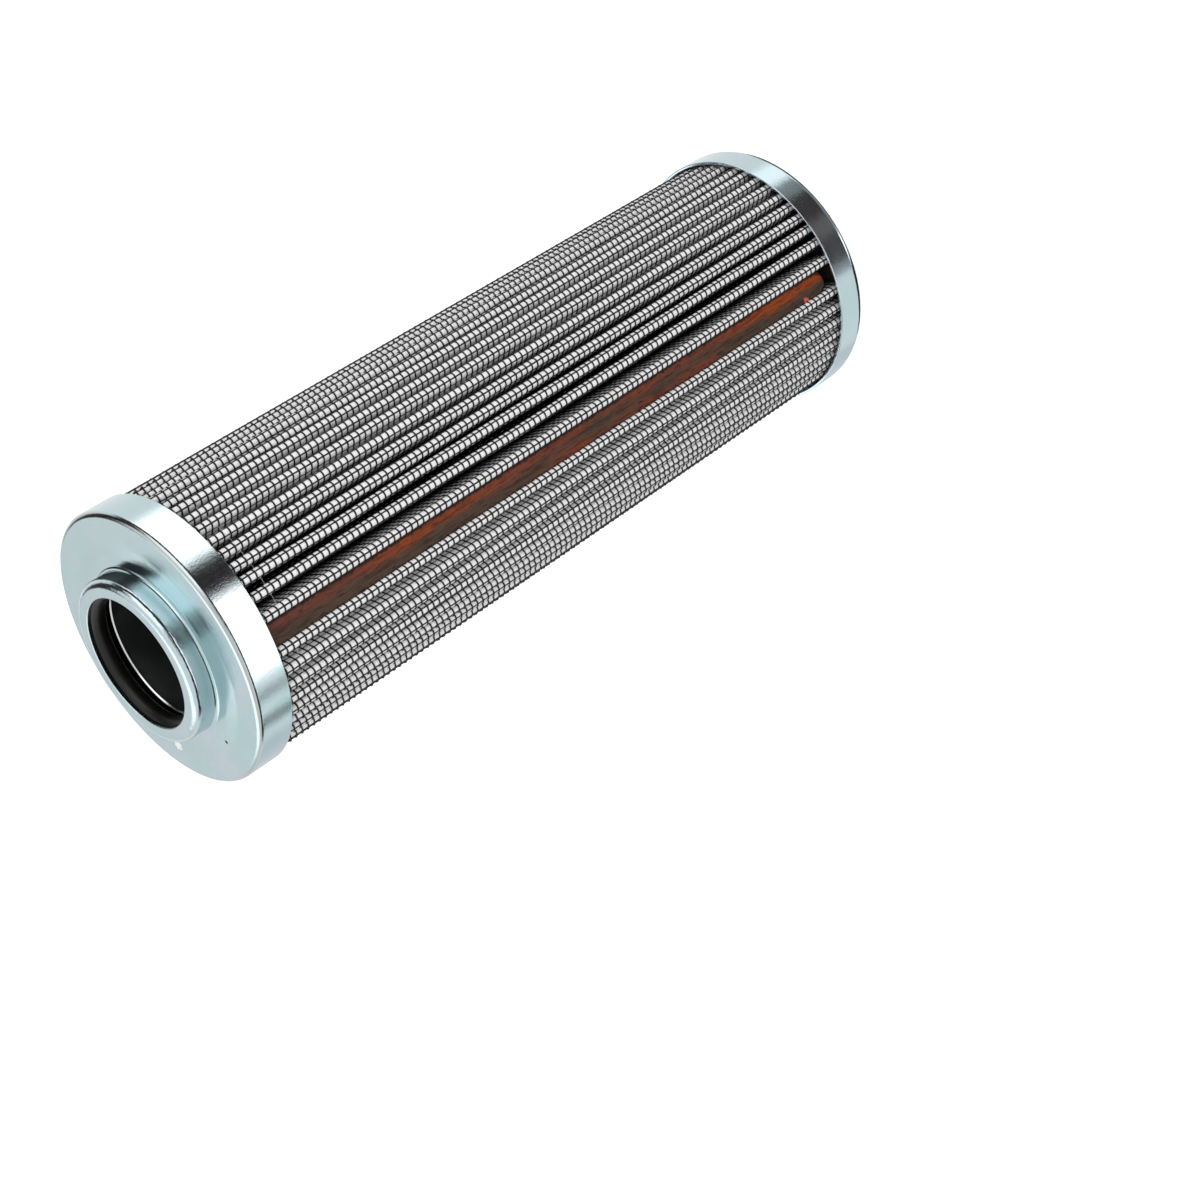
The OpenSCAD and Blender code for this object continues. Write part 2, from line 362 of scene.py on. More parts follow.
def rounded_path(corners, closed, near=0.00004, bend=7):
    """Points along a polygon in the (radius, height) plane with a fillet at each corner.

    A corner is (radius, height, fillet), and the plane is that of complex numbers. The arc
    runs between the points that lie fillet / tan(half the corner's angle) from the corner,
    round a centre that lies fillet / sin(half the angle) from it. One more point stands
    just outside each end of the arc, so that the smooth shading stays flat between bends.
    """
    r, z, fillet = np.array(corners, float).T[:, :, None]
    p = r + 1j * z
    back, on = np.roll(p, 1) - p, np.roll(p, -1) - p
    back, on = back / abs(back), on / abs(on)
    half = np.arccos(np.clip((back * on.conj()).real, -1, 1)) / 2
    first, last = (p + way * fillet / np.tan(half) for way in (back, on))
    centre = p + (back + on) / abs(back + on) * fillet / np.sin(half)
    swing = np.angle((last - centre) * (first - centre).conj())
    arc = centre + (first - centre) * np.exp(1j * swing * np.linspace(0, 1, bend))
    path = np.concatenate([first + back * near, arc, last + on * near], 1)
    if not closed:
        path = np.concatenate([p[0], path[1:-1].ravel(), p[-1]])
    return np.stack([path.real, path.imag], -1).reshape(-1, 2)


def circle_path(away, height, radius, number):
    """Points of a circle in the (radius, height) plane: its middle plus radius times the
    cosine and sine of each angle."""
    turns = np.arange(number) * TURN / number
    return np.stack([away + radius * np.cos(turns), height + radius * np.sin(turns)], -1)


def swept(path, angle):
    """Points of a path in the (radius, height) plane at each angle round the axis."""
    r, z = path[:, :1], np.repeat(path[:, 1:], len(angle), 1)
    return np.stack([r * np.cos(angle), r * np.sin(angle), z], -1).reshape(-1, 3)


def fan(pole, first, number, last):
    """Triangles from a pole to a ring of that many points, facing up if it is the last."""
    here = first + np.arange(number)
    on = np.roll(here, -1)
    ring = (here, on) if last else (on, here)
    return np.stack([np.full(number, pole), *ring], -1)


def revolved(path, steps, closed):
    """Points and faces of a path in the (radius, height) plane turned round the axis.

    Point (i, j) stands at radius and height i of the path and angle j. An open path starts
    and ends on the axis, where its points are one pole with triangles round it.
    """
    body = path if closed else path[1:-1]
    points = swept(body, np.arange(steps) * TURN / steps)
    faces = [grid_faces(len(body), steps, closed, True)]
    if not closed:
        low = len(points)
        faces += [fan(low, 0, steps, False), fan(low + 1, low - steps, steps, True)]
        points = np.concatenate([points, [[0, 0, path[0, 1]], [0, 0, path[-1, 1]]]])
    return points, faces


# The pleated surface


def wrapped(angle):
    """The same angle between minus and plus half a turn."""
    return angle - TURN * np.round(angle / TURN)


def pack_folds(s, heights):
    """The folds of the pack at each height, crests and inner folds in turn.

    Each has a centre, an angle and a signed radius: plus for a crest, minus for an inner
    fold, whose outer side is hollow. A crest stands at its even angle plus a fixed lean,
    which is a sum of two sines of its number where none is measured, and a slow sum of two
    sines, 83 and 37 mm long, along the height. The flank after a fold is square to the
    direction of the line between two centres turned back by acos(difference of the signed
    radii / distance), and a fold's arc runs from the flank before to the flank after it.
    """
    k = np.arange(s.count)
    last = s.count - 1
    step = (TURN - 2 * s.seam_half - 2 * s.end_gap) / (s.count - 3)
    even = s.seam + s.seam_half + s.end_gap + (k - 1) * step
    even[0], even[last] = s.seam + s.seam_half, s.seam + TURN - s.seam_half
    free = (k > 0) & (k < last)
    lean = 0.6 * np.sin(np.radians(137 * k)) + 0.4 * np.sin(np.radians(71 * k + 40))
    lean = s.lean * lean
    lean[1 : 1 + len(AFTER_SEAM)] = np.radians(AFTER_SEAM)
    lean[last - len(BEFORE_SEAM) : last] = np.radians(BEFORE_SEAM[::-1])
    turns = TURN * np.asarray(heights)[:, None]
    slow = 0.6 * np.sin(turns / 0.083 + 2.1 * k) + 0.4 * np.sin(turns / 0.037 + 3.7 * k)
    nose = np.empty(s.count + 1)
    floor_half = s.seam_half - step / 2
    nose[0], nose[-1] = s.seam + floor_half, s.seam + TURN - floor_half
    nose[1:last] = even[1:last] - step / 2
    nose[last] = even[last - 1] + step / 2
    angle = np.empty((len(turns), 2 * s.count + 1))
    angle[:, 0::2] = nose
    angle[:, 1::2] = even + free * (lean + s.wander * slow)
    crest = np.arange(2 * s.count + 1) % 2 == 1
    away = np.where(crest, s.crest_at, s.nose_at)
    signed = np.where(crest, s.crest, -s.nose)
    x, y = away * np.cos(angle), away * np.sin(angle)
    wx, wy = np.roll(x, -1, 1) - x, np.roll(y, -1, 1) - y
    difference = signed - np.roll(signed, -1)
    flank = np.arctan2(wy, wx) - np.arccos(difference / np.hypot(wx, wy))
    return {
        "x": x,
        "y": y,
        "angle": angle,
        "signed": signed,
        "start": wrapped(np.roll(flank, 1, 1) - angle),
        "end": wrapped(flank - angle),
    }


def pack_points(folds, owner, along, level):
    """Places on the pleated surface at a level above its inner face, and their normals.

    along runs from 0 to 1 over the arc of the owning fold, and from 1 to 2 over the straight
    flank after it. A place is the fold's centre plus (signed radius + level) in the
    direction of the normal, and on a flank it goes in a line to the same on the next fold.
    """
    after = (owner + 1) % len(folds["signed"])
    arc, flank = np.clip(along, 0, 1), np.clip(along - 1, 0, None)
    start, end = folds["start"][:, owner], folds["end"][:, owner]
    normal = folds["angle"][:, owner] + start + (end - start) * arc
    c, s = np.cos(normal), np.sin(normal)
    here, there = folds["signed"][owner] + level, folds["signed"][after] + level
    x, y = folds["x"][:, owner] + here * c, folds["y"][:, owner] + here * s
    x += flank * (folds["x"][:, after] + there * c - x)
    y += flank * (folds["y"][:, after] + there * s - y)
    return x, y, normal


def pack_stations(count, nose_out, up, crest, down, nose_in):
    """Owning fold, place along it and crest number of each station round the pack.

    The same few places are repeated for each pleat, from the middle of one inner fold to
    the middle of the next, and the last few cross the floor of the side seam.
    """
    along = np.concatenate([nose_out, up, crest, down, nose_in])
    offset = np.repeat(
        [0, 0, 1, 1, 2], [len(nose_out), len(up), len(crest), len(down), len(nose_in)]
    )
    k = np.arange(count)
    owner = (2 * k[:, None] + offset).ravel()
    owner = np.concatenate([owner, [2 * count, 2 * count, 0]])
    along = np.concatenate([np.tile(along, count), [1.0, 1.5, 0.0]])
    which = np.concatenate([np.repeat(k, len(offset)), [count - 1] * 3])
    return owner, along, which


def run_to_crests(folds, owner, along, which, level):
    """Length along the surface from the first station to each one, as the sum of the steps,
    and to the outermost place of each one's own crest."""
    x, y, normal = pack_points(folds, owner, along, level)
    x, y = x[0], y[0]
    run = np.concatenate([[0], np.cumsum(np.hypot(np.diff(x), np.diff(y)))])
    tops = np.flatnonzero((owner % 2 == 1) & (np.abs(along - 0.5) < 1e-6))
    lean = folds["angle"][0, owner[tops]] - normal[0, tops]
    top_run = run[tops] + wrapped(lean) * (folds["signed"][1] + level)
    return run, top_run[which]


def warp_offsets(count):
    """Sideways offset of the woven wires from each crest, as a share of the pitch."""
    return np.random.default_rng(7).uniform(-0.45, 0.45, count)


# Materials

# Blender's names of the nodes that are used most
MATH, VECTOR, RANGE = "ShaderNodeMath", "ShaderNodeVectorMath", "ShaderNodeMapRange"
NOISE, RAMP, MIX = "ShaderNodeTexNoise", "ShaderNodeValToRGB", "ShaderNodeMix"
BUMP, SPLIT, MAPPING = "ShaderNodeBump", "ShaderNodeSeparateXYZ", "ShaderNodeMapping"
OUTPUT = "ShaderNodeOutputMaterial"

# Middle and radius of each small mark, in metres
CHIP = (-0.02538, 0.01019, 0.2075), 0.0011
SPECK = (-0.02202, -0.01253, 0.2075), 0.00042
PINK_SPOT = (-0.00264, -0.0312, 0.01841), 0.0009

WHITE = (1, 1, 1, 1)
# Black of the painted shade deep in the fleece's folds
PAINTED_FOLD_SHADE = (0.01, 0.01, 0.01, 1)


def add_node(tree, kind, inputs=(), stops=(), **settings):
    """Adds a node with its settings, its links and the stops of its colour ramp.

    Inputs go by name, or by number if they are a list. Each is a value, an output, or a
    node, whose first output in use is linked then.
    """
    node = tree.nodes.new(kind)
    for key, value in settings.items():
        setattr(node, key, value)
    for key, value in inputs.items() if isinstance(inputs, dict) else enumerate(inputs):
        if isinstance(value, bpy.types.Node):
            value = next(o for o in value.outputs if o.enabled)
        if isinstance(value, bpy.types.NodeSocket):
            tree.links.new(value, node.inputs[key])
        else:
            node.inputs[key].default_value = value
    for i, (at, tint) in enumerate(stops):
        ramp = node.color_ramp.elements
        stop = ramp[i] if i < len(ramp) else ramp.new(at)
        stop.position, stop.color = at, tint
    return node


def texture(place, mm, detail=2.0, rough=0.5):
    """Inputs of a noise on Object coordinates whose cells are that many millimetres."""
    return {"Vector": place, "Scale": 1000 / mm, "Detail": detail, "Roughness": rough}


def times(tint, factor):
    """The same colour, that many times as bright."""
    return tuple(min(1.0, part * factor) for part in tint[:3]) + (1.0,)


def grey(level):
    """A plain grey of that level."""
    return (level, level, level, 1)


def emptied(owner):
    """Clears the nodes of a material or a world, and gives back the function that adds
    nodes there."""
    owner.use_nodes = True
    owner.node_tree.nodes.clear()
    return partial(add_node, owner.node_tree)


def new_material(name):
    """An empty material, the function that adds nodes to it, and its Object coordinates."""
    material = bpy.data.materials.new(name)
    add = emptied(material)
    return material, add, add("ShaderNodeTexCoord").outputs["Object"]


def finished(material, inputs):
    """The material, with a shader that takes these inputs linked to its output."""
    add = partial(add_node, material.node_tree)
    add(OUTPUT, [add("ShaderNodeBsdfPrincipled", inputs)])
    return material


def from_axis(add, place):
    """Distance from the upright axis."""
    flat = add(VECTOR, [place, (1, 1, 0)], operation="MULTIPLY")
    return add(VECTOR, [flat], operation="LENGTH")


def spot(add, place, middle, radius):
    """1 inside a small uneven spot round a point, else 0."""
    far = add(VECTOR, [place, middle], operation="DISTANCE")
    uneven = add(NOISE, texture(place, 0.8))
    reach = add(MATH, [uneven, 2 * radius], operation="MULTIPLY")
    return add(MATH, [far, reach], operation="LESS_THAN")


def rim_mask(add, place, height, c):
    """Up to 0.9 on the tight bend between a cap's face and its skirt, else 0: distance from
    the axis plus height above or below the middle is largest there."""
    middle = c.face / 2
    up = add(MATH, [height, middle], operation="SUBTRACT")
    up = add(MATH, [up], operation="ABSOLUTE")
    total = add(MATH, [from_axis(add, place), up], operation="ADD")
    start = c.radius + middle - c.worn
    return add(RANGE, [total, start, start + c.worn_edge, 0.0, 0.9])


def lip_mask(add, place, height, c):
    """1 on the bend between the neck's wall and its lip, else 0, with soft edges of some
    0.9 and 1 mm."""
    start = c.neck - c.bend_in
    outer = add(RANGE, [from_axis(add, place), start, start + 0.0009])
    start = c.top - c.bend_down
    upper = add(RANGE, [height, start, start + 0.001])
    return add(MATH, [outer, upper], operation="MULTIPLY")


def zinc_plate(f, c):
    """Bright zinc plate with a pale blue passivation: satin gloss, a fine grain that breaks
    up the edges of reflections, slow clouds of cyan and lilac, rims worn to a plain grey,
    shallow dents round the neck's lip, and one bare chip and one speck on the face."""
    material, add, place = new_material("zinc_plate_blue_passivated")
    height = add(SPLIT, [place]).outputs["Z"]

    # Clouds of some 14 and 45 mm, the worn rim, then the two marks
    cloud = add(NOISE, texture(place, 14, 3.0, 0.55))
    cool = add(RAMP, [cloud], ((0.35, f.zinc_cyan), (0.65, f.zinc_lilac)))
    patch = add(NOISE, texture(place, 45))
    patch = add(MATH, [patch, 0.9], operation="MULTIPLY")
    chip = spot(add, place, *CHIP)
    speck = spot(add, place, *SPECK)
    worn = rim_mask(add, place, height, c)
    tint = f.zinc
    marks = (chip, f.mark_light), (speck, f.mark_dark)
    for mask, over in (patch, cool), (worn, f.zinc_worn), *marks:
        tint = add(MIX, {"Factor": mask, "A": tint, "B": over}, data_type="RGBA")

    # Grain of 0.34 mm, fainter on the far cap, slow waves of 1.6 mm and dents of 3.2 mm
    calm = add(RANGE, [height, 0.01, 0.19, 0.6, 1.0])
    bend = lip_mask(add, place, height, c)
    relief = {}
    for noise, rise, strength in (
        (texture(place, 0.34, 3.0, 0.65), 0.000024, calm),
        (texture(place, 1.6), 0.00001, 1.0),
        (texture(place, 3.2), 0.00011, bend),
    ):
        relief.update(Height=add(NOISE, noise), Distance=rise, Strength=strength)
        relief["Normal"] = add(BUMP, relief)

    # Satin gloss, dull on the chip
    satin = add(NOISE, texture(place, 6, 3.0))
    rough = add(MATH, [satin, 0.1, 0.09], operation="MULTIPLY_ADD")
    rough = add(MATH, [chip, 0.8, rough], operation="MULTIPLY_ADD")
    metal = add(MATH, [1.0, chip], operation="SUBTRACT")
    inputs = {"Base Color": tint, "Metallic": metal, "Roughness": rough}
    return finished(material, {**inputs, "Normal": relief["Normal"]})


def woven_fleece(f, w):
    """White polyester fleece that swells like a small pillow in each cell of the wire mesh,
    a little darker along the wires as painted shade, with fine fibres, and black with
    painted shade deep in the folds save beside the two wide gaps."""
    material, add, place = new_material("white_polyester_fleece")
    split = add(SPLIT, [add("ShaderNodeUVMap", uv_map="weave")])
    across, upward = split.outputs["X"], split.outputs["Y"]

    # The pillow is the root of |sin(pi * u) * sin(pi * v)|, where u and v count the wires
    arch = []
    for wires in (across, upward):
        angle = add(MATH, [wires, math.pi], operation="MULTIPLY")
        arch.append(add(MATH, [angle], operation="SINE"))
    pillow = add(MATH, arch, operation="MULTIPLY")
    pillow = add(MATH, [pillow], operation="ABSOLUTE")
    pillow = add(MATH, [pillow, 0.5], operation="POWER")
    # Painted shade: darker towards the wires, where the pillow is low, with slow random
    # blotches
    blotch = add(NOISE, texture(place, 2.2))
    tone = add(MATH, [blotch, 0.25, pillow], operation="MULTIPLY_ADD")
    wire_shaded_tint = add(RAMP, [tone], ((0.3, f.fleece_wire_shade), (0.85, f.fleece)))

    # Painted shade in the folds from 0.9 to 2.85 wires off the crest, 2.2 wires deeper beside
    # a wide gap
    wide = add("ShaderNodeAttribute", attribute_name="wide_gap").outputs["Fac"]
    off_crest = add(MATH, [across], operation="ABSOLUTE")
    off_crest = add(MATH, [wide, -2.2, off_crest], operation="MULTIPLY_ADD")
    light = add(RANGE, [off_crest, 0.9, 2.85, 1.0, 0.05])
    tint = add(MIX, {"Factor": light, "A": PAINTED_FOLD_SHADE, "B": wire_shaded_tint}, data_type="RGBA")

    fibre = add(NOISE, texture(place, 0.12, 3.0, 0.7))
    normal = add(BUMP, {"Height": pillow, "Distance": w.pillow})
    normal = add(BUMP, {"Height": fibre, "Distance": 0.00002, "Normal": normal})
    return finished(material, {"Base Color": tint, "Roughness": 0.85, "Normal": normal})


def resin_colour(f, add, uv, streak, stretched):
    """Colour of the resin from its UV map in millimetres, X across and Y up the strip.

    The scale of a noise is therefore its cells in a millimetre, and a Mapping node draws
    them out along the strip or across it. Heights on the ramps are shares of 210 mm.
    """
    split = add(SPLIT, [uv])
    across = split.outputs["X"]
    height = add(MATH, [split.outputs["Y"], 210], operation="DIVIDE")

    # Which side shows: red for high values, brown for low ones. Between the stops of the
    # ramp both edges are red, and elsewhere only the edge on the plus side. The first value
    # takes off what the two noises add on average
    stops = ((0.19, grey(0)), (0.26, grey(1)), (0.5, grey(1)), (0.62, grey(0)))
    both = add(RAMP, [height], stops)
    lower = add(MATH, [across, 0.0], operation="MINIMUM")
    lower = add(MATH, [lower, both], operation="MULTIPLY")
    patchy = add(NOISE, {"Vector": uv, "Scale": 0.06})
    side = -0.3
    parts = (across, 0.2), (lower, -0.3), (both, -0.12), (streak, 0.9), (patchy, 0.7)
    for part, weight in parts:
        side = add(MATH, [part, weight, side], operation="MULTIPLY_ADD")
    red_side = add(RANGE, [side, 0.36, 0.66])

    # Orange at the low end and again near two thirds of the height, in cross hatching
    stops = ((0.17, 1), (0.25, 0.25), (0.6, 0.3), (0.68, 0.6), (0.76, 0.6), (0.84, 0.1))
    zones = add(RAMP, [height], [(at, grey(level)) for at, level in stops])
    squeezed = add(MAPPING, {"Vector": uv, "Scale": (0.35, 1.3, 1.0)})
    hatch = add(NOISE, {"Vector": squeezed, "Scale": 1.0, "Detail": 3.0})
    hatch = add(MATH, [hatch, 1.9], operation="MULTIPLY")
    warm = add(MATH, [zones, hatch], operation="MULTIPLY")
    red = add(RAMP, [warm], ((0.1, f.resin_red), (0.95, f.resin_orange)))

    # Dark flecks, smears and a ragged fringe along both edges
    fleck = add(NOISE, {"Vector": stretched, "Scale": 4.0, "Detail": 3.0})
    smear = {"Vector": stretched, "Scale": 1.15, "Detail": 4.0, "Roughness": 0.65}
    smear = add(NOISE, {**smear, "Distortion": 0.6})
    squeezed = add(MAPPING, {"Vector": uv, "Scale": (0.2, 1.0, 1.0)})
    ragged = {"Vector": squeezed, "Scale": 1.1, "Detail": 4.0, "Roughness": 0.7}
    ragged = add(NOISE, ragged)
    edge = add(MATH, [across, 0.3], operation="ADD")
    edge = add(MATH, [edge], operation="ABSOLUTE")
    edge = add(MATH, [ragged, 2.4, edge], operation="MULTIPLY_ADD")
    shadow = 0.0
    flecks, smears = (fleck, 0.57, 0.63, 0.75), (smear, 0.52, 0.6, 0.5)
    for part, low, high, depth in flecks, smears, (edge, 3.5, 3.85, 0.92):
        dark = add(RANGE, [part, low, high, 0.0, depth])
        shadow = add(MATH, [dark, shadow], operation="MAXIMUM")
    tint = f.resin_brown
    for mask, over in (red_side, red), (shadow, f.resin_dark):
        tint = add(MIX, {"Factor": mask, "A": tint, "B": over}, data_type="RGBA")
    return tint


def seam_resin(f):
    """Cast red-brown resin: clear and redder on one side, orange in two stretches, dull
    grey-brown on the other side, with lengthwise streaks, dark flecks, ragged dark edges, a
    pinkish spot and a low gloss."""
    material, add, place = new_material("red_brown_seam_resin")
    uv = add("ShaderNodeUVMap", uv_map="weave")
    stretched = add(MAPPING, {"Vector": uv, "Scale": (1.0, 0.07, 1.0)})
    streak = {"Vector": stretched, "Scale": 1.6, "Detail": 5.0, "Roughness": 0.6}
    streak = add(NOISE, streak)
    body = resin_colour(f, add, uv, streak, stretched)
    layers = {"Factor": spot(add, place, *PINK_SPOT), "A": body, "B": f.mark_pink}
    rough = add(MATH, [streak, 0.3, 0.18], operation="MULTIPLY_ADD")
    inputs = {
        "Base Color": add(MIX, layers, data_type="RGBA"),
        "Roughness": rough,
        "Specular IOR Level": 0.1,
        "Normal": add(BUMP, {"Height": streak, "Distance": 0.00018}),
    }
    return finished(material, inputs)


def edged_ring(f, edge):
    """Retaining ring: dull dark steel on its face as painted shade, bright on the slope along
    its hole.
    """
    material, add, place = new_material("steel_ring_painted_shade_bright_edge")
    face = add(RANGE, [from_axis(add, place), edge, edge + 0.0001])
    tone = add(NOISE, texture(place, 3, 3.0))
    # Painted shade on the face: dark steel clouded with the rubber's black
    dull = add(RAMP, [tone], ((0.3, f.ring_face_shade), (0.7, f.rubber)))
    tint = add(MIX, {"Factor": face, "A": f.ring, "B": dull}, data_type="RGBA")
    rough = add(MATH, [face, 0.3, 0.2], operation="MULTIPLY_ADD")
    return finished(material, {"Base Color": tint, "Metallic": 1.0, "Roughness": rough})


def inner_weave(f, w):
    """Dark woven wire of the inner mesh: bands across the height stand for its wires."""
    material, add, place = new_material("inner_woven_wire")
    height = add(SPLIT, [place]).outputs["Z"]
    angle = add(MATH, [height, TURN / w.pitch], operation="MULTIPLY")
    wave = add(MATH, [angle], operation="SINE")
    tint = add(RAMP, [wave], ((0.2, times(f.wire, 6)), (0.8, f.wire)))
    normal = add(BUMP, {"Height": wave, "Distance": 0.0001})
    return finished(material, {"Base Color": tint, "Roughness": 0.45, "Normal": normal})


def grained(name, cloud, stops, gloss, grain, rise, **others):
    """A plain material: clouds of colour and of gloss, and a fine grain in relief.

    cloud and grain are millimetres, detail and roughness of a noise, gloss is the cloud's
    share and the least roughness, rise is the height of the grain in millimetres, and
    others are further inputs of the shader.
    """
    material, add, place = new_material(name)
    cloud = add(NOISE, texture(place, *cloud))
    grain = add(NOISE, texture(place, *grain))
    swing, rough = gloss
    if swing:
        rough = add(MATH, [cloud, swing, rough], operation="MULTIPLY_ADD")
    normal = add(BUMP, {"Height": grain, "Distance": rise / 1000})
    tint = add(RAMP, [cloud], stops)
    return finished(
        material, {"Base Color": tint, "Roughness": rough, "Normal": normal, **others}
    )


def coated_wire(f):
    """Steel wire with a thin black coating: a soft gloss and slightly uneven."""
    stops = (0.4, f.wire), (0.75, times(f.wire, 2.4))
    low = {"Specular IOR Level": 0.3}
    return grained("black_coated_wire", [0.8], stops, (0.2, 0.28), [0.15], 0.01, **low)


def nitrile_rubber(f):
    """Smooth black nitrile rubber, faintly brown, with a low sheen."""
    stops = (0.35, f.rubber), (0.7, times(f.rubber, 1.9))
    low = {"Specular IOR Level": 0.33}
    return grained("nitrile_rubber", [3.0, 3.0], stops, (0.15, 0.3), [0.3], 0.004, **low)


def rolled_steel(f):
    """Rolled steel of the centre tube: grey, half dull, with slow clouds and a fine grain."""
    stops, gloss = ((0.35, times(f.tube, 0.8)), (0.65, f.tube)), (0.15, 0.35)
    return grained("rolled_steel_tube", [7.2, 3.0], stops, gloss, [0.6], 0.001, Metallic=1.0)


def fibre_cloth(name, tint, mm, rough):
    """Fibre paper, fleece or cast filler: fine matt grain in slow blotches."""
    stops, grain = ((0.3, times(tint, 0.72)), (0.65, tint)), (mm, 4.0, 0.7)
    return grained(name, grain, stops, (0, rough), grain, 0.04)


def clear_thread(f):
    """Fine translucent thread that nearly vanishes over the white cells."""
    stops = (0.3, f.thread), (0.7, WHITE)
    return grained("translucent_thread", [0.4], stops, (0, 0.3), [0.4], 0.03, Alpha=0.24)


def paint(node, material):
    """Puts a material on a CAD node without touching its mesh."""
    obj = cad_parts[node]
    if not obj.material_slots:
        obj.data.materials.append(material)
    for part in obj.material_slots:
        part.material = material


# Operators


class FILTER_OT_end_caps(Operator):
    """Makes the two pressed end caps, the open one with its drawn neck. Each is the outline
    of its sheet, with a fillet at each corner, turned round the axis."""

    bl_idname = "filter.end_caps"
    bl_label = "End caps"

    def execute(self, context):
        c = context.scene.filter_caps
        zinc = zinc_plate(context.scene.filter_finish, c)
        inside = c.radius - c.sheet
        neck_in = c.neck - c.sheet
        near = [
            (c.radius, c.face - c.skirt, c.edge),
            (c.radius, c.face, c.rim),
            (c.neck + c.dish_width, c.face, c.dish_foot),
            (c.neck + c.dish_flat, c.face + c.dish, c.dish_brow),
            (c.neck, c.face + c.dish, c.foot),
            (c.neck, c.top, c.lip),
            (c.bore, c.top, c.edge),
            (c.bore, c.top - c.sheet, c.edge),
            (neck_in, c.top - c.sheet, c.lip - c.sheet),
            (neck_in, c.face - c.sheet, c.foot + c.sheet),
            (inside, c.face - c.sheet, c.rim - c.sheet),
            (inside, c.face - c.skirt, c.edge),
        ]
        points, faces = revolved(rounded_path(near, True)[::-1], c.steps, True)
        add_piece("open_cap_sheet", points, faces, zinc, "open_end_cap", "zinc_sheet")
        far = [
            (0, 0, 0),
            (c.radius, 0, c.far_rim),
            (c.radius, c.skirt, c.edge),
            (inside, c.skirt, c.edge),
            (inside, c.sheet, c.far_rim - c.sheet),
            (0, c.sheet, 0),
        ]
        points, faces = revolved(rounded_path(far, False), c.steps, False)
        where = "closed_end_cap", "zinc_sheet_closed"
        add_piece("closed_cap_sheet", points, faces, zinc, *where)
        return {"FINISHED"}


class FILTER_OT_neck_seal(Operator):
    """Makes the sealing ring behind the neck's lip, a circle turned round the axis, and the
    flat ring that keeps it there, a filleted outline turned round the axis."""

    bl_idname = "filter.neck_seal"
    bl_label = "Sealing ring"
    around, steps = 48, 192

    def execute(self, context):
        s = context.scene.filter_seal
        path = circle_path(s.outside - s.section, s.height, s.section, self.around)
        points, faces = revolved(path, self.steps, True)
        rubber = nitrile_rubber(context.scene.filter_finish)
        add_piece("neck_seal", points, faces, rubber, "neck_sealing_ring", "seal_rubber")
        slope = s.ring_bore + s.ring_slope
        flat = [
            (s.ring_out, s.ring_low, s.ring_edge),
            (s.ring_out, s.ring_high, s.ring_edge),
            (slope, s.ring_high, s.ring_edge),
            (s.ring_bore, s.ring_high - s.ring_fall * s.ring_slope, s.ring_edge),
            (s.ring_bore, s.ring_low, s.ring_edge),
        ]
        points, faces = revolved(rounded_path(flat, True)[::-1], self.steps, True)
        bright = edged_ring(context.scene.filter_finish, slope)
        where = "seal_retaining_ring", "bright_ring"
        add_piece("retaining_ring", points, faces, bright, *where)
        return {"FINISHED"}


def pleated_shell(s, heights, stations, inner, outer):
    """Points and faces of a closed pleated wall between two levels: the outer face up the
    pack, row by row, and the inner face down again. A level is one value or one for each
    station."""
    owner, along, _ = stations
    folds = pack_folds(s, heights)
    z = np.repeat(heights[:, None], len(owner), 1)
    sides = []
    for level, step in ((outer, 1), (inner, -1)):
        x, y, _ = pack_points(folds, owner, along, level)
        sides.append(np.stack([x, y, z], -1)[::step])
    points = np.concatenate(sides)
    return points, [grid_faces(*points.shape[:2], True, True)]


class FILTER_OT_inner_layers(Operator):
    """Makes the layers behind the fleece, which follow the same folds."""

    bl_idname = "filter.inner_layers"
    bl_label = "Inner layers"
    rows = 18

    def execute(self, context):
        s, w = context.scene.filter_pleats, context.scene.filter_weave
        f = context.scene.filter_finish
        crest = [0.0, 0.25, 0.5, 0.75, 1.0]
        stations = pack_stations(s.count, [1.0], [1.5], crest, [1.5], [0.0])
        heights = np.linspace(s.low, s.high, self.rows)
        paper = fibre_cloth("glass_fibre_paper", f.fleece, 0.3, 0.9)
        cloth = fibre_cloth("thin_support_fleece", f.fleece, 0.5, 0.9)
        for node, slot, finish, low, high in (
            ("glass_fibre_media", "glass_fibre", paper, w.media_in, w.inner),
            ("support_fleece", "support_cloth", cloth, w.support_in, w.media_in),
            ("inner_wire_mesh", "inner_wire", inner_weave(f, w), 0.0, w.support_in),
        ):
            points, faces = pleated_shell(s, heights, stations, low, high)
            add_piece(node + "_folds", points, faces, finish, node, slot)
        return {"FINISHED"}


